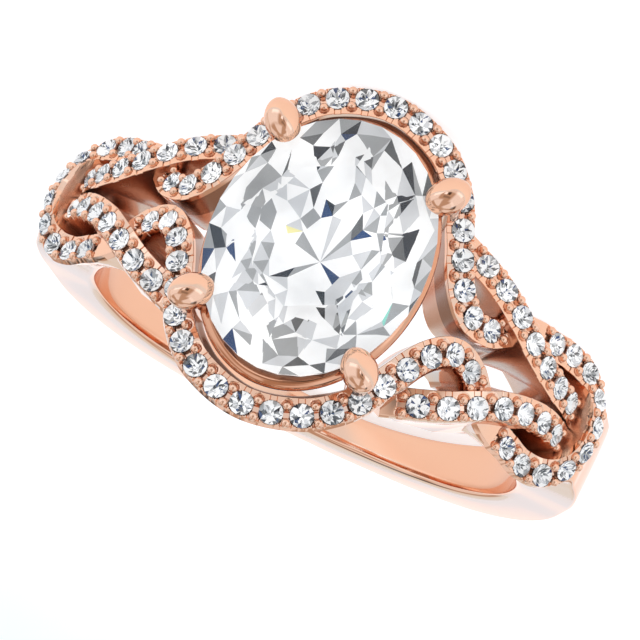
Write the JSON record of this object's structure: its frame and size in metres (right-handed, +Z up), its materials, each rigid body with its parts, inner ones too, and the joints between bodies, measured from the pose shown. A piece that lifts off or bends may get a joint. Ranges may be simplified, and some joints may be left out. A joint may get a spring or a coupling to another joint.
{
  "type": "ring mounting",
  "caption": "Oval halo ring mounting in rose gold: claws over a faceted oval stone, a stone-set halo, split and twisted stone-set shoulders, and a plain tapering band.",
  "frame": {"origin": "on the surface the ring lies on, under the middle of its box", "axes": "+Z up from the surface, +Y from the foot of the band towards the centre stone, +X across the stone's short way"},
  "size_m": [0.0214, 0.023, 0.0117],
  "materials": {
    "rose_gold": "polished rose gold",
    "centre_stone": "polished facets",
    "small_stones": "polished facets"
  },
  "bodies": {
    "root": {"mounting": "rose_gold", "centre_stone": "centre_stone", "halo_stones": "small_stones", "loop_stones": "small_stones", "branch_stones": "small_stones"}
  },
  "joints": []
}
